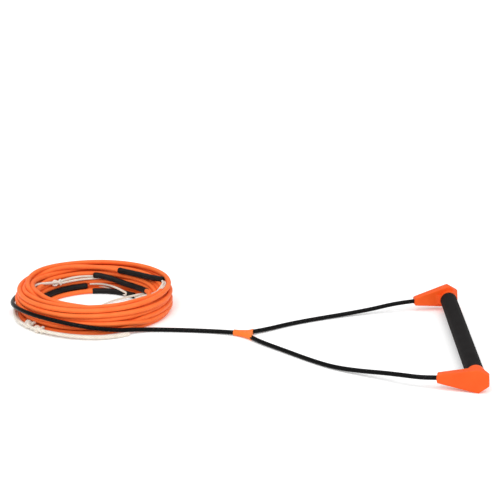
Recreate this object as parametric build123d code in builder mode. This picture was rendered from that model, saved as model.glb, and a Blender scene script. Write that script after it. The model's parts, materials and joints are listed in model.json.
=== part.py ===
from build123d import *
from math import cos, pi, radians, sin, tan
import os

# Tow rope handle: a 15 inch foam grip with moulded end caps, a two-leg rope bridle with a moulded
# Y junction, a lead line and a coiled sectional mainline.
# Frame: +Z up, +Y along the grip, the handle's footprint centred on the origin, the floor at z = 0.

os.makedirs("parts", exist_ok=True)

# ---- driving dimensions, millimetres and degrees ----
HANDLE_LENGTH = 381.0        # over the outer faces of the end caps, 15 inches
BAR_X = 20.07                # bar axis, so that the handle's box is centred on x = 0
BAR_Z = 20.63                # bar axis height with the caps' lower corners on the floor
TUBE_RADIUS = 10.0
TUBE_WALL = 1.6
GRIP_RADIUS = 13.5
GRIP_END_FILLET = 0.8
PLUG_LENGTH = 18.0

CAP_THICKNESS = 16.0         # across the plate at the bar
CAP_NOSE_THICKNESS = 12.0
CAP_NOSE_REACH = 57.0        # bar axis to rope mouth
CAP_NOSE_HALF_HEIGHT = 6.6
CAP_NOSE_BULGE = 1.2
CAP_APEX = (1.8, 20.8)       # the sharp corner: from the bar axis towards the blunt end, and up
CAP_ROUND_CORNER = (2.3, 15.0)   # the opposite corner, rounded over the bar
CAP_END_REACH = 17.5         # bar axis to the blunt end
CAP_END_HEIGHTS = (9.8, 7.6)     # on the sharp side and on the round side
CAP_END_THICKNESS = 9.0
CAP_TAPER_START = 10.0       # the plate is full thickness from here...
CAP_END_TAPER_START = 8.0    # ...to here
CAP_CORNER_FILLET = 1.6
CAP_EDGE_FILLET = 1.4
CAP_COLLAR_RADIUS = 14.0
CAP_COLLAR_DEPTH = 26.0      # outer face to the collar's end
CAP_END_WALL = 6.0
CAP_WEB_LENGTH = 13.0        # hollow-curved web between the plate and the collar
CAP_WEB_RISE = 6.0
CAP_WEB_HALF_HEIGHT = 8.0
CAP_WEB_SAG = (3.2, 2.2)     # the curve's middle, out from the collar and up from the plate
CAP_WEB_OVERLAP = 1.5        # depth of the web's ends inside the plate and the collar
TOE_IN = 11.5                # each nose points in towards the bridle
DROOP = 3.7                  # the noses hang down a little

ROPE_RADIUS = 3.5            # coated bridle and lead rope
LOOP_RADIUS = 2.6            # folded white loop
SLEEVE_RADIUS = 5.0
STOPPER_RADIUS = 5.6
STOPPER_LENGTH = 12.0
STOPPER_FILLET = 1.5
STOPPER_START = 16.5         # bar axis to the stopper, along the nose
STUB_REACH = 24.5            # cap mouth to the flex point of the leg
FLEX_GAP = 4.0               # flex point to the square end of the other rope

JUNCTION_LENGTH = 31.0
JUNCTION_YAW = -18.0
JUNCTION_MOUTH_YAW = -5.0                    # the legs' side is cut less askew than the barrel
JUNCTION_END = Vector(-333.8, 50.5, 5.0)     # mouth for the lead
JUNCTION_BARREL_RADIUS = 4.9
JUNCTION_WAIST = (0.42, 15.6, 8.6)           # place along the length, width, height
JUNCTION_FLARE = (36.0, 9.6)                 # width, height at the leg side
LEG_SPACING = 27.0
FERRULE_START = 12.5
FERRULE_LENGTH = 7.0
FERRULE_SIZE = (13.6, 7.0)
FERRULE_LEG_SPACING = 7.4

COIL_CENTRE = (-568.0, 172.0)
COIL_INNER = 94.0
COIL_OUTER = 130.0
COIL_MAIN_HEIGHT = 31.0
COIL_HEIGHT = 46.0
COIL_RING_SPLIT = 112.0      # radius between the two short sections
COIL_ROUNDING = 4.0


def bend_radii(points):
    """Largest smooth radius at each corner: 0.45 of the shorter run over tan(half the turn)."""
    radii = []
    for before, corner, after in zip(points, points[1:], points[2:]):
        run_in, run_out = corner - before, after - corner
        half_turn = radians(run_in.get_angle(run_out) / 2)
        radii.append(0.45 * min(run_in.length, run_out.length) / tan(half_turn))
    return radii


def rope_along(name, route, radius):
    """A round rope solid along straight runs joined by tangent arcs."""
    points = [Vector(*p) for p in route]
    radii = bend_radii(points)
    with BuildPart() as rope:
        with BuildLine() as path:
            FilletPolyline(*points, radius=radii)
        wire = path.wire()
        with BuildSketch(Plane(origin=points[0], z_dir=wire % 0)):
            Circle(radius)
        sweep(path=wire)
    length = wire.length
    print(f"{name}: length {length:.1f}, smallest bend radius {min(radii):.1f},",
          f"volume over section x length {rope.part.volume / (pi * radius**2 * length):.4f}")
    return rope.part


def around_coil(radius, height, start, end, tube_radius):
    """A round rope solid along an arc about the coil's centre, from start to end degrees."""
    low, high = min(start, end), max(start, end)
    centre = Plane(origin=(*COIL_CENTRE, height)).rotated((0, 0, low))
    with BuildPart() as piece:
        with BuildSketch(Plane(origin=centre.origin, x_dir=centre.x_dir, z_dir=-centre.y_dir)):
            with Locations((radius, 0)):
                Circle(tube_radius)
        revolve(axis=Axis(centre.origin, (0, 0, 1)), revolution_arc=high - low)
    return piece.part


def finish(part, name):
    part.label = name
    export_step(part, f"parts/{name}.step")


# ---- handle: end caps ----
# Both ends use the same moulding, so the front one is the back one turned over.
bar_centre = Vector(BAR_X, 0, BAR_Z)
pull_way = Vector(-cos(radians(DROOP)), 0, -sin(radians(DROOP)))
turn_over = Axis(bar_centre, pull_way)
nose_way = pull_way * cos(radians(TOE_IN)) - Vector(0, sin(radians(TOE_IN)), 0)
cap_outward = pull_way * sin(radians(TOE_IN)) + Vector(0, cos(radians(TOE_IN)), 0)
cap_middle_y = HANDLE_LENGTH / 2 - CAP_THICKNESS / 2 / cos(radians(TOE_IN))
cap_origin = Vector(BAR_X, cap_middle_y, BAR_Z)
cap_side = Plane(origin=cap_origin, x_dir=-nose_way, z_dir=-cap_outward)
cap_plan = Plane(origin=cap_origin, x_dir=-nose_way, z_dir=(-nose_way).cross(cap_outward))
collar_end_y = HANDLE_LENGTH / 2 - CAP_COLLAR_DEPTH
tube_end_y = HANDLE_LENGTH / 2 - CAP_END_WALL
mouth = cap_origin + nose_way * CAP_NOSE_REACH
flex_point = mouth + nose_way * STUB_REACH
stopper_face = cap_origin + nose_way * (STOPPER_START + STOPPER_LENGTH)
rope_in_nose = Plane(origin=stopper_face, z_dir=nose_way)
bar_inward = Plane(origin=(BAR_X, collar_end_y, BAR_Z), x_dir=(1, 0, 0), z_dir=(0, 1, 0))

with BuildPart() as stopper_back:
    with BuildSketch(Plane(origin=stopper_face, z_dir=-nose_way)):
        Circle(STOPPER_RADIUS)
    extrude(amount=STOPPER_LENGTH)
    fillet(stopper_back.edges(), radius=STOPPER_FILLET)

with BuildPart() as leg_end_back:
    with BuildSketch(rope_in_nose):
        Circle(ROPE_RADIUS)
    extrude(amount=(flex_point - stopper_face).length)
    with Locations(flex_point):
        Sphere(ROPE_RADIUS)

with BuildPart() as end_cap_back:
    with BuildSketch(cap_side) as outline:
        with BuildLine():
            nose_top = (-CAP_NOSE_REACH, CAP_NOSE_HALF_HEIGHT)
            nose_low = (-CAP_NOSE_REACH, -CAP_NOSE_HALF_HEIGHT)
            ThreePointArc(nose_low, (-CAP_NOSE_REACH - CAP_NOSE_BULGE, 0), nose_top)
            round_corner = (CAP_ROUND_CORNER[0], -CAP_ROUND_CORNER[1])
            Polyline(nose_top, CAP_APEX, (CAP_END_REACH, CAP_END_HEIGHTS[0]),
                     (CAP_END_REACH, -CAP_END_HEIGHTS[1]), round_corner, nose_low)
        make_face()
        fillet(outline.vertices().sort_by(Axis.Y)[0], radius=CAP_COLLAR_RADIUS)
    extrude(amount=CAP_THICKNESS / 2, both=True)
    with BuildSketch(cap_plan):
        with BuildLine():
            nose_end = -CAP_NOSE_REACH - 2 * CAP_NOSE_BULGE
            end_inner_y = CAP_THICKNESS / 2 - CAP_END_THICKNESS
            Polyline((nose_end, -CAP_NOSE_THICKNESS / 2), (-CAP_TAPER_START, -CAP_THICKNESS / 2),
                     (CAP_END_TAPER_START, -CAP_THICKNESS / 2), (CAP_END_REACH, end_inner_y),
                     (CAP_END_REACH, CAP_THICKNESS / 2), (-CAP_TAPER_START, CAP_THICKNESS / 2),
                     (nose_end, CAP_NOSE_THICKNESS / 2), close=True)
        make_face()
    extrude(amount=2 * CAP_APEX[1], both=True, mode=Mode.INTERSECT)
    # corners run across the plate, rims run round its two flat sides
    corners = end_cap_back.edges().filter_by(lambda e: abs((e % 0.5).dot(cap_outward)) > 0.99)
    fillet(corners, radius=CAP_CORNER_FILLET)
    rims = end_cap_back.edges().filter_by(lambda e: abs((e % 0.5).dot(cap_outward)) < 0.3
                                          and e.length > 3.0)
    fillet(rims, radius=CAP_EDGE_FILLET)
    with BuildSketch(bar_inward):
        Circle(CAP_COLLAR_RADIUS)
    extrude(amount=CAP_COLLAR_DEPTH - CAP_THICKNESS / 2)
    with BuildSketch(cap_plan):
        with BuildLine():
            plate_x, plate_y = -CAP_COLLAR_RADIUS, -CAP_THICKNESS / 2
            web_root = (plate_x - CAP_WEB_LENGTH, plate_y + CAP_WEB_OVERLAP)
            web_tip = (plate_x + CAP_WEB_OVERLAP, plate_y - CAP_WEB_RISE)
            ThreePointArc(web_root, (plate_x - CAP_WEB_SAG[0], plate_y - CAP_WEB_SAG[1]), web_tip)
            Polyline(web_tip, (-TUBE_RADIUS / 2, web_tip[1]), (-TUBE_RADIUS / 2, 0),
                     (web_root[0], 0), web_root)
        make_face()
    extrude(amount=CAP_WEB_HALF_HEIGHT, both=True)
    with BuildSketch(bar_inward):
        Circle(TUBE_RADIUS)
    extrude(amount=tube_end_y - collar_end_y, mode=Mode.SUBTRACT)
    add(stopper_back.part, mode=Mode.SUBTRACT)
    with BuildSketch(rope_in_nose):
        Circle(ROPE_RADIUS)
    extrude(amount=CAP_NOSE_REACH, mode=Mode.SUBTRACT)

for name, back in (("end_cap", end_cap_back), ("stopper", stopper_back), ("leg_end", leg_end_back)):
    finish(back.part, f"{name}_back")
    with BuildPart() as front:
        add(back.part.rotate(turn_over, 180))
    finish(front.part, f"{name}_front")

# ---- handle: bar, plugs and foam ----
bar_middle = Plane(origin=(BAR_X, 0, BAR_Z), x_dir=(1, 0, 0), z_dir=(0, 1, 0))
with BuildPart() as handle_tube:
    with BuildSketch(bar_middle):
        Circle(TUBE_RADIUS)
        Circle(TUBE_RADIUS - TUBE_WALL, mode=Mode.SUBTRACT)
    extrude(amount=tube_end_y, both=True)
finish(handle_tube.part, "handle_tube")

for name, side in (("tube_plug_back", 1), ("tube_plug_front", -1)):
    with BuildPart() as tube_plug:
        with BuildSketch(bar_middle.offset(side * tube_end_y)):
            Circle(TUBE_RADIUS - TUBE_WALL)
        extrude(amount=-side * PLUG_LENGTH)
    finish(tube_plug.part, name)

with BuildPart() as foam_grip:
    with BuildSketch(bar_middle):
        Circle(GRIP_RADIUS)
        Circle(TUBE_RADIUS, mode=Mode.SUBTRACT)
    extrude(amount=collar_end_y, both=True)
    rims = foam_grip.edges().filter_by(lambda e: abs(e.radius - GRIP_RADIUS) < 0.01
                                       if e.geom_type == GeomType.CIRCLE else False)
    fillet(rims, radius=GRIP_END_FILLET)
finish(foam_grip.part, "foam_grip")

# ---- bridle: ferrule, ropes and the moulded Y ----
junction_way = Vector(cos(radians(JUNCTION_YAW)), sin(radians(JUNCTION_YAW)), 0)
junction_left = Vector(-sin(radians(JUNCTION_YAW)), cos(radians(JUNCTION_YAW)), 0)
mouth_left = Vector(-sin(radians(JUNCTION_MOUTH_YAW)), cos(radians(JUNCTION_MOUTH_YAW)), 0)
mouth_way = Vector(cos(radians(JUNCTION_MOUTH_YAW)), sin(radians(JUNCTION_MOUTH_YAW)), 0)
ferrule_near = JUNCTION_END + junction_way * FERRULE_START
ferrule_far = ferrule_near + junction_way * FERRULE_LENGTH
legs_mouth = JUNCTION_END + junction_way * JUNCTION_LENGTH
leg_root = {side: ferrule_far + junction_left * side * FERRULE_LEG_SPACING / 2 for side in (1, -1)}
leg_mouth = {side: legs_mouth + mouth_left * side * LEG_SPACING / 2 for side in (1, -1)}
flex = {1: flex_point, -1: Vector(flex_point.X, -flex_point.Y, flex_point.Z)}
flex_way = {1: nose_way, -1: Vector(nose_way.X, -nose_way.Y, nose_way.Z)}

# Free routes of the ropes, from the Y junction outwards.
BACK_LEG_ROUTE = [(-281, 68, 4.3), (-244, 96, 3.6), (-198, 121, 3.6), (-151, 141, 4.6),
                  (-107, 154.5, 8.6), (-82, 160.3, 13.0)]
FRONT_LEG_ROUTE = [(-289, 7.5, 4.2), (-252, -29, 3.6), (-217, -66, 3.6), (-183, -96.5, 3.9),
                   (-145, -118.5, 6.6), (-108, -138.5, 11.2), (-82, -156, 14.6)]
SWING_PIVOT = Vector(-402, 63.6, 3.6)
LEAD_END_ROUTE = [(-355, 56.3, 4.2), (-378, 61, 3.6)]
LEAD_ROUTE = [(-438, 66.3, 3.6), (-481, 66, 4.2), (-526, 42, 11), (-578, 34.5, 21), (-628, 49, 27),
              (-670, 80.5, 28), (-698, 125, 25), (-702, 175, 20), (-689, 226, 18), (-661, 269, 19),
              (-620, 297, 23), (-570, 301, 28)]

leg_solids = {}
for name, side, route in (("back", 1, BACK_LEG_ROUTE), ("front", -1, FRONT_LEG_ROUTE)):
    leg_tip = flex[side] + flex_way[side] * FLEX_GAP
    leg_points = [leg_root[side], leg_mouth[side], *route, leg_tip]
    leg_solids[side] = rope_along(f"bridle_leg_{name}", leg_points, ROPE_RADIUS)
    finish(leg_solids[side], f"bridle_leg_{name}")

lead_end = rope_along("lead_end", [ferrule_near, JUNCTION_END, *LEAD_END_ROUTE, SWING_PIVOT], ROPE_RADIUS)
with BuildPart() as lead_end_rounded:
    add(lead_end)
    with Locations(SWING_PIVOT):
        Sphere(ROPE_RADIUS)
finish(lead_end_rounded.part, "lead_end")

with BuildPart() as splice_ferrule:
    with BuildSketch(Plane(origin=ferrule_near, x_dir=junction_left, z_dir=junction_way)):
        SlotOverall(*FERRULE_SIZE)
    extrude(amount=FERRULE_LENGTH)
finish(splice_ferrule.part, "splice_ferrule")

# The Y moulding: a barrel on the lead, a waist, then a flare that spreads round both legs.
with BuildPart() as y_junction:
    waist_place, waist_width, waist_height = JUNCTION_WAIST
    with BuildSketch(Plane(origin=JUNCTION_END, x_dir=junction_left, z_dir=junction_way)):
        Circle(JUNCTION_BARREL_RADIUS)
    waist_origin = JUNCTION_END + junction_way * JUNCTION_LENGTH * waist_place
    with BuildSketch(Plane(origin=waist_origin, x_dir=junction_left, z_dir=junction_way)):
        SlotOverall(waist_width, waist_height)
    with BuildSketch(Plane(origin=legs_mouth, x_dir=mouth_left, z_dir=mouth_way)):
        SlotOverall(*JUNCTION_FLARE)
    loft()
    for rope in (lead_end, splice_ferrule.part, leg_solids[1], leg_solids[-1]):
        add(rope, mode=Mode.SUBTRACT)
finish(y_junction.part, "y_junction")

# ---- lead line: on the floor to the coil, then up and round its outside, into the bundle ----
lead_start = SWING_PIVOT + (Vector(*LEAD_ROUTE[0]) - SWING_PIVOT).normalized() * FLEX_GAP
finish(rope_along("lead_line", [lead_start, *LEAD_ROUTE], ROPE_RADIUS), "lead_line")

# ---- coils: each section of line is one closed ring, the short ones lying on the long one ----
coils = {"mainline_coil": (COIL_INNER, COIL_OUTER, 0.0, COIL_MAIN_HEIGHT),
         "section_one_coil": (COIL_INNER, COIL_RING_SPLIT, COIL_MAIN_HEIGHT, COIL_HEIGHT),
         "section_two_coil": (COIL_RING_SPLIT, COIL_OUTER, COIL_MAIN_HEIGHT, COIL_HEIGHT)}
for name, (inner, outer, low, high) in coils.items():
    with BuildPart() as coil:
        with BuildSketch(Plane(origin=(*COIL_CENTRE, low))):
            Circle(outer)
            Circle(inner, mode=Mode.SUBTRACT)
        extrude(amount=high - low)
        fillet(coil.edges().filter_by(GeomType.CIRCLE), radius=COIL_ROUNDING)
    finish(coil.part, name)

# ---- black sleeves over the rope ends: radius and height in the coil, start and end angle ----
sleeves = {"lead_sleeve": (114, 37, 208, 262),
           "section_one_head_sleeve": (95, 22, 26, 94),
           "section_two_head_sleeve": (97, 13, 100, 152),
           "section_two_tail_sleeve": (90, 6, -80, -18),
           "mainline_head_sleeve": (86, 5.2, 42, 97),
           "boat_sleeve": (128, 12, 145, 188)}
for name, (radius, height, start, end) in sleeves.items():
    finish(around_coil(radius, height, start, end, SLEEVE_RADIUS), name)

# ---- white loops, folded flat: arcs beside the coil, two that cross its middle and one that
# sinks down its inner wall, with the sleeve that slants out over the top turns ----
loops = {"section_one_head_loop": (94, 27, 94, 141),
         "section_two_tail_loop": (89, 4, -18, 12),
         "mainline_head_loop": (87, 4, 13, 42),
         "boat_loop": (138, 3, 190, 288)}
for name, (radius, height, start, end) in loops.items():
    finish(around_coil(radius, height, start, end, LOOP_RADIUS), name)

TAIL_LOOP_ROUTE = [(-454.5, 200, 41), (-451, 183, 44.5), (-453, 164, 44), (-461, 157, 37.5), (-470, 174, 27),
                   (-480, 198, 18), (-493, 219, 10.5), (-508, 219, 4.5), (-525, 208, 3), (-542, 192, 3),
                   (-553, 172, 3), (-556, 150, 3)]
HEAD_LOOP_ROUTE = [(-585, 267, 13), (-570, 269, 12.5), (-554, 265, 10), (-538, 254, 8), (-523, 240, 6)]
LEAD_LOOP_ROUTE = [(-667, 119.5, 38), (-674.5, 155, 39.5), (-673, 187, 37), (-657.5, 214, 33),
                   (-639.5, 234, 28)]
TAIL_SLEEVE_ROUTE = [(-533, 262.5, 40), (-514, 252.5, 40), (-495, 237.5, 40), (-474.5, 217.5, 40),
                     (-454.5, 200, 41)]
for name, route, radius in (("section_one_tail_loop", TAIL_LOOP_ROUTE, LOOP_RADIUS),
                            ("section_two_head_loop", HEAD_LOOP_ROUTE, LOOP_RADIUS),
                            ("lead_loop", LEAD_LOOP_ROUTE, LOOP_RADIUS),
                            ("section_one_tail_sleeve", TAIL_SLEEVE_ROUTE, SLEEVE_RADIUS)):
    finish(rope_along(name, route, radius), name)
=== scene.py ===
import json
from math import cos, pi, radians, sin, tau

import bpy
import numpy as np
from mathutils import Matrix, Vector


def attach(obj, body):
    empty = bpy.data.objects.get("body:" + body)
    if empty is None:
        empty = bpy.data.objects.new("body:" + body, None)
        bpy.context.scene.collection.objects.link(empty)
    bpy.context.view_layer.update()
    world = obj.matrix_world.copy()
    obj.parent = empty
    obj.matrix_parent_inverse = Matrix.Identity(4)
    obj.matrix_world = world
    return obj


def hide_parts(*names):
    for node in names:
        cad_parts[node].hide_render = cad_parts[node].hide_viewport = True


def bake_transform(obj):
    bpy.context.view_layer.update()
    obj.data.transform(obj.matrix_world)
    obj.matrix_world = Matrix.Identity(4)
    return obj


# Tow rope handle in metres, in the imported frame: +Y along the grip, +Z up, floor at z = 0.

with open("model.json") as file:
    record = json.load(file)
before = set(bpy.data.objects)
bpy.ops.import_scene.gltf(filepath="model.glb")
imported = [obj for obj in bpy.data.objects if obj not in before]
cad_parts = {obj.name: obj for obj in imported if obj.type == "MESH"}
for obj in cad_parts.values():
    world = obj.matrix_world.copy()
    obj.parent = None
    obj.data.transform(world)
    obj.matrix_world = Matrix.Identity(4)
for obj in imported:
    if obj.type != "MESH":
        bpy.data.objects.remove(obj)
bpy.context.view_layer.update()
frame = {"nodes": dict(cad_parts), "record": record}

MM = 0.001
UP = Vector((0, 0, 1))
chance = np.random.default_rng(7)

# ---- rope sizes and places, millimetres ----
ROPE_RADIUS = 3.5                # coated bridle and lead rope
LINE_RADIUS = 4.0                # orange line
STRAND_RADIUS = 1.9              # white cord of the loops
STRAND_APART = 2.1               # half the distance between a loop's two strands
SLEEVE_RADIUS = 4.9
COIL_CENTRE = (-568.0, 172.0)
COIL_LIMIT = 131.5               # radius that the wound turns stay inside
STATION = 15                     # degrees between the places where the coil's turns are worked out
MAIN_ANGLES = (45, 7020)         # the long line's first and last place, in degrees round the coil
MAIN_JOIN = 97                   # degrees where its head sleeve ends and its first full turn starts
MAIN_LAYER_RISE = 6.9            # height from one layer of turns to the next
LEAD_SLEEVE_LENGTH = 108.0
ROPE_SIDES, LINE_SIDES, STRAND_SIDES, SLEEVE_SIDES = 20, 14, 10, 18

# Routes chosen for the free ropes, the same as the CAD tubes follow.
BACK_LEG_ROUTE = [(-281, 68, 4.3), (-244, 96, 3.6), (-198, 121, 3.6), (-151, 141, 4.6),
                  (-107, 154.5, 8.6), (-82, 160.3, 13.0)]
FRONT_LEG_ROUTE = [(-289, 7.5, 4.2), (-252, -29, 3.6), (-217, -66, 3.6), (-183, -96.5, 3.9),
                   (-145, -118.5, 6.6), (-108, -138.5, 11.2), (-82, -156, 14.6)]
LEG_ROOT = {"back": [(-314.1, 48.0, 5.0), (-303.1, 54.4, 5.0)],
            "front": [(-316.4, 41.0, 5.0), (-305.5, 27.5, 5.0)]}
# Where each leg meets its cap: the flex point, the mouth and the stopper.
LEG_END = [(-59.63, 166.09, 15.48), (-35.67, 170.97, 17.02), (-7.80, 176.65, 18.83)]
LEAD_ROUTE = [(-321.9, 46.6, 5), (-333.8, 50.5, 5), (-355, 56.3, 4.2), (-378, 61, 3.6), (-402, 63.6, 3.6),
              (-438, 66.3, 3.6), (-481, 66, 4.2), (-526, 42, 11), (-578, 34.5, 21), (-628, 49, 27),
              (-670, 80.5, 28), (-698, 125, 25), (-702, 175, 20), (-689, 226, 18), (-661, 269, 19),
              (-620, 297, 23), (-570, 301, 28)]
TAIL_LOOP_ROUTE = [(-454.5, 200, 41), (-451, 183, 44.5), (-453, 164, 44), (-461, 157, 37.5), (-470, 174, 27),
                   (-480, 198, 18), (-493, 219, 10.5), (-508, 219, 4.5), (-525, 208, 3), (-542, 192, 3),
                   (-553, 172, 3), (-556, 150, 3)]
HEAD_LOOP_ROUTE = [(-585, 267, 13), (-570, 269, 12.5), (-554, 265, 10), (-538, 254, 8), (-523, 240, 6)]
# Radius, height and angle in the coil of the boat loop, which lies round the coil's foot.
BOAT_LOOP_PLACES = [(130, 7, 190), (133, 5.8, 200), (136, 5.4, 213), (137, 5.4, 226), (137, 5.4, 238),
                    (139, 5.4, 250), (143, 5.2, 264), (145.5, 4.6, 277), (144.5, 3.6, 288), (141, 2.9, 297)]


# ---- camera ----
def add_camera():
    data = bpy.data.cameras.new("camera")
    data.lens, data.sensor_width = 109.8, 36.0
    camera = bpy.data.objects.new("camera", data)
    bpy.context.collection.objects.link(camera)
    camera.location = (-0.2943, -2.2281, 0.8386)
    camera.rotation_euler = (radians(90 - 17.0), 0, radians(0.35))
    bpy.context.scene.camera = camera


# ---- materials ----
class Shader:
    """A Principled material with short calls for its nodes."""

    def __init__(self, name, roughness, **constants):
        self.material = bpy.data.materials.new(name)
        self.material.use_nodes = True
        self.tree = self.material.node_tree
        self.surface = self.tree.nodes["Principled BSDF"]
        self.surface.inputs["Roughness"].default_value = roughness
        for socket, value in constants.items():
            self.surface.inputs[socket.replace("_", " ")].default_value = value

    def node(self, kind, **sockets):
        made = self.tree.nodes.new(kind)
        for socket, value in sockets.items():
            self.set(made.inputs[socket.replace("_", " ")], value)
        return made

    def set(self, socket, value):
        if isinstance(value, bpy.types.NodeSocket):
            self.tree.links.new(value, socket)
        else:
            socket.default_value = value

    def maths(self, operation, *values):
        made = self.tree.nodes.new("ShaderNodeMath")
        made.operation = operation
        for socket, value in zip(made.inputs, values):
            self.set(socket, value)
        return made.outputs[0]

    def noise(self, scale, detail=3.0, vector=None):
        made = self.node("ShaderNodeTexNoise", Scale=scale, Detail=detail)
        self.set(made.inputs["Vector"], vector or self.place())
        return made.outputs["Fac"]

    def place(self):
        return self.tree.nodes.new("ShaderNodeTexCoord").outputs["Object"]

    def along_rope(self):
        """Metres along the rope and the share of a turn round it, from the tube's own map."""
        made = self.tree.nodes.new("ShaderNodeUVMap")
        made.uv_map = "rope"
        parts = self.node("ShaderNodeSeparateXYZ", Vector=made.outputs[0])
        return parts.outputs[0], parts.outputs[1]

    def ramp(self, value, stops):
        made = self.tree.nodes.new("ShaderNodeValToRGB")
        self.set(made.inputs[0], value)
        while len(made.color_ramp.elements) < len(stops):
            made.color_ramp.elements.new(0.5)
        for element, (at, colour) in zip(made.color_ramp.elements, stops):
            element.position = at
            element.color = (*colour, 1)
        return made.outputs[0]

    def between(self, value, low, high):
        made = self.node("ShaderNodeMapRange", Value=value)
        made.inputs["To Min"].default_value = low
        made.inputs["To Max"].default_value = high
        return made.outputs[0]

    def colour(self, value):
        self.set(self.surface.inputs["Base Color"], value)

    def rough(self, value):
        self.set(self.surface.inputs["Roughness"], value)

    def bump(self, height, strength, depth):
        made = self.node("ShaderNodeBump", Strength=strength, Distance=depth, Height=height)
        before = self.surface.inputs["Normal"]
        if before.is_linked:
            self.set(made.inputs["Normal"], before.links[0].from_socket)
        self.set(before, made.outputs[0])

    def braid(self, pitch, pairs):
        """Height of a round braid: two families of strands that cross, each over the other by turns."""
        along, round_it = self.along_rope()
        lay = self.maths("MULTIPLY", along, tau / pitch)
        turn = self.maths("MULTIPLY", round_it, tau * pairs)
        right, left = self.maths("ADD", lay, turn), self.maths("SUBTRACT", lay, turn)
        right_high = self.maths("ABSOLUTE", self.maths("SINE", self.maths("MULTIPLY", right, 0.5)))
        left_high = self.maths("ABSOLUTE", self.maths("SINE", self.maths("MULTIPLY", left, 0.5)))
        weave = self.maths("MULTIPLY", self.maths("SINE", lay), self.maths("COSINE", turn))
        over = self.between(weave, 0.0, 1.0)
        return self.maths("MAXIMUM", self.maths("MULTIPLY", right_high, over),
                          self.maths("MULTIPLY", left_high, self.maths("SUBTRACT", 1.0, over)))


def coated_rope():
    shader = Shader("rope_black", 0.25, Specular_IOR_Level=0.08)
    braid = shader.braid(0.0085, 6)
    # Painted shade: the base colour is darker in the braid's grooves between strands than on the strand tops.
    shader.colour(shader.ramp(braid, [(0.2, (0.0015, 0.0015, 0.0015)), (1.0, (0.004, 0.004, 0.004))]))
    shader.rough(shader.between(shader.noise(260), 0.18, 0.32))
    shader.bump(braid, 0.45, 0.0005)
    shader.bump(shader.noise(900, 2.0), 0.08, 0.0002)
    return shader.material


def orange_line():
    shader = Shader("line_orange", 0.5, Specular_IOR_Level=0.2)
    braid = shader.braid(0.0062, 8)
    worn = shader.noise(55, 4.0)
    # Colour mixes random wear with painted shade: the braid's grooves between strands are painted darker.
    tone = shader.maths("ADD", shader.maths("MULTIPLY", worn, 0.75), shader.maths("MULTIPLY", braid, 0.25))
    shader.colour(shader.ramp(tone, [(0.25, (0.88, 0.138, 0.023)), (0.75, (0.94, 0.195, 0.043))]))
    shader.rough(shader.between(worn, 0.42, 0.6))
    shader.bump(braid, 0.4, 0.0004)
    return shader.material


def white_cord():
    shader = Shader("loop_white", 0.8, Sheen_Weight=0.3, Sheen_Roughness=0.5,
                    Subsurface_Weight=0.15, Subsurface_Radius=(0.002, 0.0018, 0.0014))
    braid = shader.braid(0.0052, 5)
    aged = shader.noise(80, 4.0)
    # Colour mixes random ageing with painted shade: the braid's grooves between strands are painted darker.
    tone = shader.maths("ADD", shader.maths("MULTIPLY", aged, 0.6), shader.maths("MULTIPLY", braid, 0.4))
    shader.colour(shader.ramp(tone, [(0.2, (0.62, 0.52, 0.42)), (0.8, (0.90, 0.85, 0.76))]))
    shader.bump(braid, 0.8, 0.0006)
    shader.bump(shader.noise(2600, 2.0), 0.25, 0.0002)
    return shader.material


def black_sleeve():
    shader = Shader("sleeve_black", 0.5, Specular_IOR_Level=0.12)
    along, _ = shader.along_rope()
    fine = shader.noise(1500, 2.0)
    tone = shader.noise(120, 4.0)
    shader.colour(shader.ramp(tone, [(0.3, (0.006, 0.006, 0.006)), (0.75, (0.014, 0.013, 0.013))]))
    shader.rough(shader.between(shader.noise(200), 0.38, 0.62))
    shader.bump(shader.maths("SINE", shader.maths("MULTIPLY", along, tau / 0.0016)), 0.12, 0.0002)
    shader.bump(fine, 0.2, 0.0002)
    return shader.material


def moulded(name, dark, light, grain):
    shader = Shader(name, 0.5, Specular_IOR_Level=0.18)
    shader.colour(shader.ramp(shader.noise(24, 5.0), [(0.3, dark), (0.72, light)]))
    shader.rough(shader.between(shader.noise(90, 3.0), 0.42, 0.6))
    shader.bump(shader.noise(grain, 3.0), 0.22, 0.0003)
    return shader.material


def foam():
    shader = Shader("foam_black", 0.85, Specular_IOR_Level=0.1)
    cells = shader.node("ShaderNodeTexVoronoi", Vector=shader.place(), Scale=1500.0)
    scuff = shader.noise(35, 5.0)
    shader.colour(shader.ramp(scuff, [(0.3, (0.008, 0.007, 0.007)), (0.75, (0.015, 0.014, 0.014))]))
    shader.rough(shader.between(scuff, 0.78, 0.92))
    shader.bump(cells.outputs["Distance"], 0.45, 0.0003)
    shader.bump(shader.noise(110, 3.0), 0.2, 0.0006)
    return shader.material


def bare_metal(name, colour, streak_axis):
    shader = Shader(name, 0.35, Metallic=1.0)
    stretched = shader.node("ShaderNodeMapping", Vector=shader.place())
    stretched.inputs["Scale"].default_value = streak_axis
    streaks = shader.noise(300, 3.0, stretched.outputs[0])
    shader.colour(shader.ramp(streaks, [(0.3, [0.8 * c for c in colour]), (0.7, colour)]))
    shader.rough(shader.between(streaks, 0.26, 0.46))
    shader.bump(streaks, 0.15, 0.0002)
    return shader.material


def closed_cell_plug():
    shader = Shader("plug_foam", 0.9)
    cells = shader.node("ShaderNodeTexVoronoi", Vector=shader.place(), Scale=900.0)
    shader.colour(shader.ramp(cells.outputs["Distance"],
                              [(0.0, (0.45, 0.45, 0.43)), (0.6, (0.68, 0.68, 0.65))]))
    shader.bump(cells.outputs["Distance"], 0.5, 0.0004)
    return shader.material


def pale_floor():
    shader = Shader("floor", 0.9, Specular_IOR_Level=0.1, Emission_Color=(1, 1, 1, 1), Emission_Strength=0.14)
    shader.colour(shader.ramp(shader.noise(3.0), [(0.3, (0.93, 0.93, 0.93)), (0.7, (0.95, 0.95, 0.95))]))
    return shader.material


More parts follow.
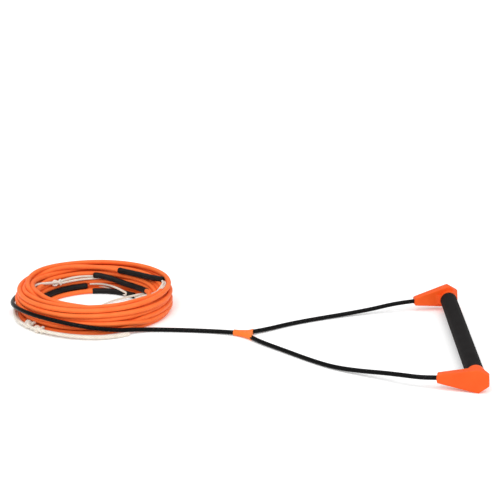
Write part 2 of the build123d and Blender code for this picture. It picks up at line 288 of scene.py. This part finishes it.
# ---- rope shapes ----
def spline_through(points, segments):
    """Points read from a smooth curve that has these points, in millimetres, as its control points."""
    data = bpy.data.curves.new("route", "CURVE")
    data.dimensions = "3D"
    spline = data.splines.new("NURBS")
    spline.points.add(len(points) - 1)
    for point, place in zip(spline.points, points):
        point.co = (*(MM * c for c in place), 1)
    spline.order_u = 3
    spline.use_endpoint_u = True
    spline.resolution_u = segments
    route = bpy.data.objects.new("route", data)
    mesh = bpy.data.meshes.new_from_object(route)
    line = np.array([v.co for v in mesh.vertices])
    bpy.data.meshes.remove(mesh)
    bpy.data.objects.remove(route)
    bpy.data.curves.remove(data)
    return line


def lengths_along(line):
    return np.concatenate([[0], np.cumsum(np.linalg.norm(np.diff(line, axis=0), axis=1))])


def stretch_of(line, start, end):
    """The part of a line between two lengths along it, in metres."""
    along = lengths_along(line)
    inside = line[(along > start) & (along < end)]
    ends = [[np.interp(at, along, line[:, k]) for k in range(3)] for at in (start, end)]
    return np.vstack([ends[0], inside, ends[1]])


def rope_frames(line):
    """Two unit vectors across the line at each of its points, carried along it without twist."""
    tangents = np.gradient(line, axis=0)
    tangents /= np.linalg.norm(tangents, axis=1)[:, None]
    across = [np.cross(tangents[0], UP)]
    across[0] /= np.linalg.norm(across[0])
    for tangent in tangents[1:]:
        carried = across[-1] - tangent * np.dot(across[-1], tangent)
        across.append(carried / np.linalg.norm(carried))
    across = np.array(across)
    return across, np.cross(across, tangents), tangents


def tube(name, line, radius, sides, material, swell=None):
    """A mesh rope along a line in metres, with rounded ends. swell gives the share of the radius at
    each share of the length."""
    across, upward, tangents = rope_frames(line)
    along = lengths_along(line)
    share = along / along[-1]
    radii = radius * (np.ones(len(line)) if swell is None else swell(share))
    angles = np.arange(sides) * tau / sides
    ring = np.stack([np.cos(angles), np.sin(angles)])
    rings, marks = [], []
    for bulge, size in ((-0.5, 0.5), (-0.36, 0.82)):
        rings.append((line[0] + tangents[0] * bulge * radii[0], across[0], upward[0], size * radii[0]))
        marks.append(along[0] + bulge * radii[0])
    for i in range(len(line)):
        size = radii[i] * (0.96 if i in (0, len(line) - 1) else 1.0)
        rings.append((line[i], across[i], upward[i], size))
        marks.append(along[i])
    for bulge, size in ((0.36, 0.82), (0.5, 0.5)):
        rings.append((line[-1] + tangents[-1] * bulge * radii[-1], across[-1], upward[-1], size * radii[-1]))
        marks.append(along[-1] + bulge * radii[-1])
    points = [centre + size * (a * side + b * up) for centre, side, up, size in rings for a, b in ring.T]
    faces = [(sides * i + j, sides * i + (j + 1) % sides,
              sides * (i + 1) + (j + 1) % sides, sides * (i + 1) + j)
             for i in range(len(rings) - 1) for j in range(sides)]
    last = sides * (len(rings) - 1)
    faces += [tuple(range(sides))[::-1], tuple(range(last, last + sides))]
    mesh = bpy.data.meshes.new(name)
    mesh.from_pydata([tuple(p) for p in points], [], faces)
    uv = mesh.uv_layers.new(name="rope")
    for face in mesh.polygons:
        wraps = face.index % sides == sides - 1 and len(face.vertices) == 4
        for corner, vertex in zip(face.loop_indices, face.vertices):
            column = vertex % sides
            uv.data[corner].uv = (marks[vertex // sides], 1.0 if wraps and column == 0 else column / sides)
    mesh.shade_smooth()
    mesh.materials.append(material)
    piece = bpy.data.objects.new(name, mesh)
    bpy.context.collection.objects.link(piece)
    return piece


def around(radius, height, angle):
    """A place by its radius, height and angle in degrees about the coil's centre, in millimetres."""
    return (COIL_CENTRE[0] + radius * cos(radians(angle)),
            COIL_CENTRE[1] + radius * sin(radians(angle)), height)


# ---- how the coil's turns lie ----
def eased(value):
    value = min(1.0, max(0.0, value))
    return value * value * (3 - 2 * value)


def main_slots():
    """Radius and height of each turn of the long line, laid out and in again, layer on layer."""
    slots = [(86.0, 5.2)]
    for layer in range(5):
        inner = 103 if layer == 4 else 98
        radii = [inner + 8.2 * i for i in range(4)] if layer % 2 == 0 else [118.5, 110.3, 102.1]
        slots += [(radius, LINE_RADIUS + MAIN_LAYER_RISE * layer) for radius in radii]
    return slots + [(127.0, 12.0)]


def mainline_places():
    """Angle, radius, height of the long line from its head sleeve to its boat sleeve."""
    slots = main_slots()
    jog_at = [0.12, 0.55, 0.30, 0.80, 0.45]    # share of the turn where each layer's turns step over
    phases = chance.uniform(0, tau, 4)
    places = []
    for angle in range(MAIN_ANGLES[0], MAIN_ANGLES[1] + 1, STATION):
        turns = (angle - MAIN_JOIN) / 360
        turn = max(0, int(turns))
        layer = min(4, max(0, (turn * 4 + 2) // 15))
        jog = eased((turns - turn - jog_at[layer]) / 0.2) if turns > 0 else 0.0
        before, after = slots[min(turn, len(slots) - 1)], slots[min(turn + 1, len(slots) - 1)]
        if turn == len(slots) - 2:
            jog = eased(turns - turn)
        wander = 1.3 * sin(tau * 0.93 * turns + phases[0]) + 0.8 * sin(tau * 0.31 * turns + phases[1])
        lift = 0.8 * sin(tau * 1.07 * turns + phases[2]) + 0.6 * sin(tau * 0.41 * turns + phases[3])
        loose = 0.0 if turn == 0 or turn > 18 else 1.0
        places.append((angle, before[0] + (after[0] - before[0]) * jog + loose * wander,
                       before[1] + (after[1] - before[1]) * jog + loose * lift))
    return places


def placed_between(stops, step):
    """Angle, radius and height at each station between the stops, eased from stop to stop."""
    angles = [stop[0] for stop in stops]
    places = []
    angle = angles[0]
    while (angle - angles[-1]) * step <= 0:
        i = max(k for k in range(len(stops) - 1) if (angle - angles[k]) * step >= 0)
        share = eased((angle - angles[i]) / (angles[i + 1] - angles[i]))
        places.append((angle, stops[i][1] + (stops[i + 1][1] - stops[i][1]) * share,
                       stops[i][2] + (stops[i + 1][2] - stops[i][2]) * share))
        angle += step
    return places


# Stops of the upper turns and loops: angle, radius and height in the coil.
SECTION_ONE_STOPS = [(90, 93, 30), (75, 94, 24), (60, 95, 19), (30, 95, 18), (-30, 98, 28), (-90, 100, 38),
                     (-125, 101, 39), (-150, 106, 46), (-180, 114, 46), (-205, 113, 43), (-270, 110, 44),
                     (-330, 112, 40), (-360, 113, 36), (-390, 113, 38), (-440, 107, 42), (-500, 107, 42),
                     (-540, 120, 45), (-600, 109, 43), (-630, 101, 41), (-660, 97, 39), (-675, 98, 39),
                     (-690, 103, 39.5), (-705, 115, 40.5)]
SECTION_TWO_STOPS = [(105, 93, 13.5), (150, 93, 13.5), (190, 96, 15), (225, 98, 20), (265, 101, 28),
                     (310, 112, 36), (360, 121, 37), (420, 124, 45), (450, 124, 47), (500, 123, 45),
                     (540, 122, 42), (600, 121, 41), (660, 121, 41), (720, 126, 43), (780, 118, 47),
                     (810, 116, 48), (870, 116, 47), (900, 115, 48), (935, 106, 41), (965, 96, 27),
                     (990, 91, 12), (1050, 90, 6)]
SECTION_ONE_HEAD = (93.5, 30.5, 95)    # radius, height and angle where section one leaves its loop
LEAD_STOPS = [(75, 122, 26), (30, 117, 25), (-60, 116, 27), (-105, 115, 35), (-150, 114, 37)]
LEAD_LOOP_STOPS = [(-150, 111, 39), (-180, 107, 40), (-195, 105, 36), (-210, 97, 33), (-225, 93, 27)]
ONE_LOOP_STOPS = [(-225, 93, 27), (-240, 92, 29), (-270, 94, 30)]
# Angle, radius, height and half thickness of what the wound turns leave room for: the tail loop
# that sinks down the inner wall, and the lead where it comes round the outside.
KEPT_CLEAR = [(0, 116, 44, 3), (0, 108, 37, 5), (0, 99, 28, 4), (15, 93, 19, 4), (15, 100, 28, 4),
              (-15, 108, 38, 4), (30, 90, 12, 4), (165, 133, 19, 3.5), (180, 134, 20, 3.5),
              (195, 135, 23, 3.5)]
# Angles that each wound line's two sleeves cover.
SLEEVE_STRETCHES = {"mainline": ((42, 97), (6985, 7028)), "section_one": ((24, 95), (-707, -647)),
                    "section_two": ((100, 152), (1000, 1062))}
LEAD_SLEEVE_FROM = -98                 # the lead's sleeve covers its angles from here on
FOLDED_LOOP_HALF = 3.4                 # half thickness of a loop's two strands side by side


def settle(cords, rounds=420):
    """Lets the wound cords sink on each other. At each station the cords' round sections are pushed
    apart until they only touch, while each cord is kept smooth and drawn to where it was laid."""
    place = np.array([(r, z) for cord in cords for _, r, z in cord["places"]])
    laid = place.copy()
    angle = np.array([a for cord in cords for a, _, _ in cord["places"]])
    owner = np.concatenate([np.full(len(c["places"]), i) for i, c in enumerate(cords)])
    thick = np.concatenate([[c["radius"](a) for a, _, _ in c["places"]] for c in cords])
    firm = np.concatenate([[c["firm"](a) for a, _, _ in c["places"]] for c in cords])[:, None]
    outer = laid[:, 0] > COIL_LIMIT
    station = angle // STATION % (360 // STATION)
    first, second = np.nonzero(np.triu(station[:, None] == station[None, :], 1))
    inner = np.nonzero((owner[1:-1] == owner[:-2]) & (owner[1:-1] == owner[2:]))[0] + 1
    for _ in range(rounds):
        place += (laid - place) * (0.02 + 0.1 * firm)
        place[:, 1] -= 0.05
        bend = 0.5 * (place[inner - 1] + place[inner + 1]) - place[inner]
        place[inner] += 0.25 * bend * (1 - 0.7 * firm[inner])
        for _ in range(3):
            gap = place[second] - place[first]
            far = np.linalg.norm(gap, axis=1)
            push = np.maximum(0, thick[first] + thick[second] - far) * 0.5
            shift = gap / np.maximum(far, 1e-6)[:, None] * push[:, None]
            yield_first = (1 - 0.6 * firm[first]) / (2 - 0.6 * (firm[first] + firm[second])) * 2
            np.add.at(place, first, -shift * 0.8 * yield_first)
            np.add.at(place, second, shift * 0.8 * (2 - yield_first))
            place[:, 1] = np.maximum(place[:, 1], thick)
            place[:, 0] = np.where(outer, place[:, 0], np.minimum(place[:, 0], COIL_LIMIT - thick))
    done = 0
    for cord in cords:
        count = len(cord["places"])
        own = slice(done, done + count)
        cord["route"] = [around(r, z, a) for a, (r, z) in zip(angle[own], place[own])]
        done += count


def in_stretches(angle, stretches):
    return any(low <= angle <= high for low, high in stretches)


def sleeved(stretches):
    """The half thickness at an angle: the sleeve's in its stretches, the line's elsewhere."""
    return lambda a: SLEEVE_RADIUS if in_stretches(a, stretches) else LINE_RADIUS


def firm_in(stretches):
    """How firmly a line keeps to its laid place: fully where a sleeve covers it."""
    return lambda a: float(in_stretches(a, stretches))


def steady(value):
    """The same value at every angle."""
    return lambda _: value


def wound_cords():
    """Routes of everything wound in the coil, after it has settled."""
    lines = {"mainline": mainline_places(), "section_one": placed_between(SECTION_ONE_STOPS, -STATION),
             "section_two": placed_between(SECTION_TWO_STOPS, STATION)}
    cords = {}
    for name, places in lines.items():
        cords[name] = {"places": places, "radius": sleeved(SLEEVE_STRETCHES[name]),
                       "firm": firm_in(SLEEVE_STRETCHES[name])}
    cords["lead"] = {"places": placed_between(LEAD_STOPS, -STATION), "firm": steady(0.5),
                     "radius": lambda a: SLEEVE_RADIUS if a <= LEAD_SLEEVE_FROM else ROPE_RADIUS}
    for name, stops in (("lead_loop", LEAD_LOOP_STOPS), ("one_loop", ONE_LOOP_STOPS)):
        cords[name] = {"places": placed_between(stops, -STATION), "radius": steady(FOLDED_LOOP_HALF),
                       "firm": steady(0.5)}
    clear = [{"places": [(angle, radius, height)], "radius": steady(half), "firm": steady(1.0)}
             for angle, radius, height, half in KEPT_CLEAR]
    settle(list(cords.values()) + clear)
    routes = {name: cord["route"] for name, cord in cords.items()}
    routes["section_one"].insert(0, around(*SECTION_ONE_HEAD))
    return routes


def sleeve_shape(share):
    """A shrunk sleeve's radius along it: a lip at each end and shallow wrinkles."""
    lip = 0.07 * (np.exp(-(share / 0.03) ** 2) + np.exp(-((1 - share) / 0.03) ** 2))
    return 1.0 + lip + 0.018 * np.sin(tau * 5.3 * share) + 0.012 * np.sin(tau * 11.7 * share + 1)


def bowed(apart, count):
    """Half the distance between a loop's strands at each of its points: wider in the middle."""
    return [apart * (0.8 + 0.5 * sin(pi * i / (count - 1))) for i in range(count)]


def strand_pair(middle, widths, lean, twist, bight=4.0):
    """Route of a loop's one cord: out beside the middle line, round its bight and back on the other side."""
    middle = [Vector(p) for p in middle]
    count = len(middle)
    sides = []
    for i, point in enumerate(middle):
        way = (middle[min(i + 1, count - 1)] - middle[max(i - 1, 0)]).normalized()
        side = way.cross(UP).normalized()
        up = side.cross(way)
        angle = lean + twist * i / (count - 1)
        sides.append(side * cos(angle) + up * sin(angle))
    out = [p + s * w for p, s, w in zip(middle, sides, widths)]
    back = [p - s * w for p, s, w in zip(middle, sides, widths)]
    way = (middle[-1] - middle[-2]).normalized()
    tip = [middle[-1] + way * bight * 0.5 + sides[-1] * widths[-1], middle[-1] + way * bight,
           middle[-1] + way * bight * 0.5 - sides[-1] * widths[-1]]
    return [tuple(p) for p in out + tip + back[::-1]]


def knot(name, middle, way, size, strand, material):
    """A small overhand knot: one closed strand wound three times through itself, flattened."""
    way = Vector(way).normalized()
    side = way.cross(UP).normalized()
    up = side.cross(way)
    places = []
    for i in range(49):
        t = tau * i / 48
        a, b, c = sin(t) + 2 * sin(2 * t), cos(t) - 2 * cos(2 * t), -sin(3 * t)
        places.append(Vector(middle) + (way * a * 0.42 + side * b * 0.3 + up * c * 0.45) * size)
    line = spline_through([tuple(p) for p in places], 3)
    return tube(name, line, strand * MM, STRAND_SIDES, material)


# ---- building ----
def build_bridle(materials):
    for side, way, route in (("back", 1, BACK_LEG_ROUTE), ("front", -1, FRONT_LEG_ROUTE)):
        places = LEG_ROOT[side] + route + [(x, way * y, z) for x, y, z in LEG_END]
        line = spline_through(places, 12)
        leg = tube(f"bridle_rope_{side}", line, ROPE_RADIUS * MM, ROPE_SIDES, materials["rope_black"])
        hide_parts(f"bridle_leg_{side}", f"leg_end_{side}")
        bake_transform(leg)


def build_lead(route, materials):
    line = spline_through(LEAD_ROUTE + route["lead"], 12)
    lead = tube("lead_rope", line, ROPE_RADIUS * MM, ROPE_SIDES, materials["rope_black"])
    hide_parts("lead_line", "lead_end")
    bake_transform(lead)
    long = lengths_along(line)[-1]
    sleeve = add_sleeve("lead_rope_sleeve", line, long - LEAD_SLEEVE_LENGTH * MM, long, "lead_sleeve",
                        materials)


def add_sleeve(name, line, start, end, node, materials):
    sleeve = tube(name, stretch_of(line, start, end), SLEEVE_RADIUS * MM, SLEEVE_SIDES,
                  materials["sleeve_black"], sleeve_shape)
    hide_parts(node)
    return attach(sleeve, "rope_package")


def build_sections(route, materials):
    """The three wound lengths of orange line, each in a black sleeve at both ends."""
    # Each line's length and how much of it its head sleeve and its tail sleeve cover, in metres.
    facts = {"section_one": (1.39, 0.116, 0.100), "section_two": (1.80, 0.088, 0.096),
             "mainline": (13.4, 0.077, 0.094)}
    for name, (length, head, tail) in facts.items():
        line = spline_through(route[name], 7)
        long = lengths_along(line)[-1]
        cord = tube(f"{name}_line", line, LINE_RADIUS * MM, LINE_SIDES, materials["line_orange"])
        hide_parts(f"{name}_coil")
        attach(cord, "rope_package")
        tail_node = "boat_sleeve" if name == "mainline" else f"{name}_tail_sleeve"
        sleeves = [add_sleeve(f"{name}_head_cover", line, 0.0, head, f"{name}_head_sleeve", materials),
                   add_sleeve(f"{name}_tail_cover", line, long - tail, long, tail_node, materials)]


def add_loop(node, middle, materials, lean=0.0, twist=0.0, widths=None, strand=STRAND_RADIUS,
             knots=()):
    widths = widths or bowed(STRAND_APART, len(middle))
    line = spline_through(strand_pair(middle, widths, lean, twist), 4)
    loop = tube(f"{node}_cord", line, strand * MM, STRAND_SIDES, materials["loop_white"])
    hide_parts(node)
    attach(loop, "rope_package")
    for i, (place, way, size) in enumerate(knots):
        lump = knot(f"{node}_knot_{i + 1}", place, way, size, strand, materials["loop_white"])
        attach(lump, "rope_package")


def arc_round(radius, height, start, end, count):
    """Places at one height and radius in the coil, evenly from the start angle to the end angle."""
    return [around(radius, height, start + (end - start) * i / (count - 1)) for i in range(count)]


def build_loops(route, materials):
    add_loop("lead_loop", route["lead_loop"], materials, twist=0.6,
             knots=[(around(93, 27, -222), (-0.6, -0.8, 0), 7.0)])
    add_loop("section_one_head_loop", route["one_loop"][::-1], materials, lean=0.6, twist=0.8)
    add_loop("section_one_tail_loop", TAIL_LOOP_ROUTE, materials, lean=0.5, twist=-0.5,
             widths=[2.0, 2.0, 2.0, 2.0, 2.1, 2.6, 4.5, 8, 10, 10, 8, 5])
    add_loop("section_two_head_loop", HEAD_LOOP_ROUTE, materials, lean=0.9, twist=0.8,
             widths=[2.0, 2.4, 3.4, 3.6, 2.2])
    add_loop("section_two_tail_loop", arc_round(89, 4, -18, 12, 4), materials, twist=0.3)
    add_loop("mainline_head_loop", arc_round(87, 4, 42, 13, 4), materials, twist=0.3)
    add_loop("boat_loop", [around(*place) for place in BOAT_LOOP_PLACES], materials, lean=0.8,
             twist=-0.8, strand=2.7, widths=[2.4, 2.6, 2.8, 3.0, 3.4, 3.6, 3.6, 3.4, 2.9, 2.0],
             knots=[(around(132, 7, 225), (0.5, -0.85, 0), 8.5), (around(136, 6, 236), (0.7, -0.7, 0), 7.0)])


def finish_cad_parts(materials):
    for node in frame["nodes"].values():
        slot_name = next(s["material_slot"] for s in frame["record"]["subparts"] if s["node"] == node.name)
        for slot in node.material_slots:
            slot.link = "OBJECT"
            slot.material = materials[slot_name]


def build_studio(floor_material):
    mesh = bpy.data.meshes.new("floor")
    mesh.from_pydata([(-9, -6, 0), (9, -6, 0), (9, 14, 0), (-9, 14, 0)], [], [(0, 1, 2, 3)])
    mesh.materials.append(floor_material)
    floor = bpy.data.objects.new("floor", mesh)
    bpy.context.collection.objects.link(floor)
    sun = bpy.data.lights.new("overhead", "SUN")
    sun.energy, sun.angle = 1.6, radians(70)
    overhead = bpy.data.objects.new("overhead", sun)
    overhead.rotation_euler = (radians(22), radians(-8), 0)
    bpy.context.collection.objects.link(overhead)
    for name, place, target, size, power in (
            ("front_light", (-1.0, -2.3, 1.9), (-0.3, 0.1, 0), 0.5, 14),
            ("side_light", (1.5, -0.9, 1.6), (-0.2, 0.0, 0), 0.5, 8)):
        data = bpy.data.lights.new(name, "AREA")
        data.size, data.energy = size, power
        light = bpy.data.objects.new(name, data)
        light.location = place
        light.rotation_euler = (Vector(target) - Vector(place)).to_track_quat("-Z", "Y").to_euler()
        bpy.context.collection.objects.link(light)
    world = bpy.data.worlds.new("studio")
    world.use_nodes = True
    world.node_tree.nodes["Background"].inputs["Color"].default_value = (1, 1, 1, 1)
    world.node_tree.nodes["Background"].inputs["Strength"].default_value = 0.6
    bpy.context.scene.world = world
    bpy.context.scene.view_settings.view_transform = "Standard"


add_camera()
materials = {"rope_black": coated_rope(), "line_orange": orange_line(), "loop_white": white_cord(),
             "sleeve_black": black_sleeve(), "foam_black": foam(), "plug_foam": closed_cell_plug(),
             "cap_orange": moulded("cap_orange", (0.78, 0.085, 0.008), (0.84, 0.107, 0.013), 1400),
             "junction_orange": moulded("junction_orange", (0.82, 0.165, 0.022), (0.88, 0.215, 0.038), 1400),
             "tube_aluminium": bare_metal("tube_aluminium", (0.80, 0.80, 0.82), (1, 0.05, 1)),
             "ferrule_metal": bare_metal("ferrule_metal", (0.72, 0.72, 0.74), (1, 1, 1))}
routes = wound_cords()
build_bridle(materials)
build_lead(routes, materials)
build_sections(routes, materials)
build_loops(routes, materials)
finish_cad_parts(materials)
build_studio(pale_floor())
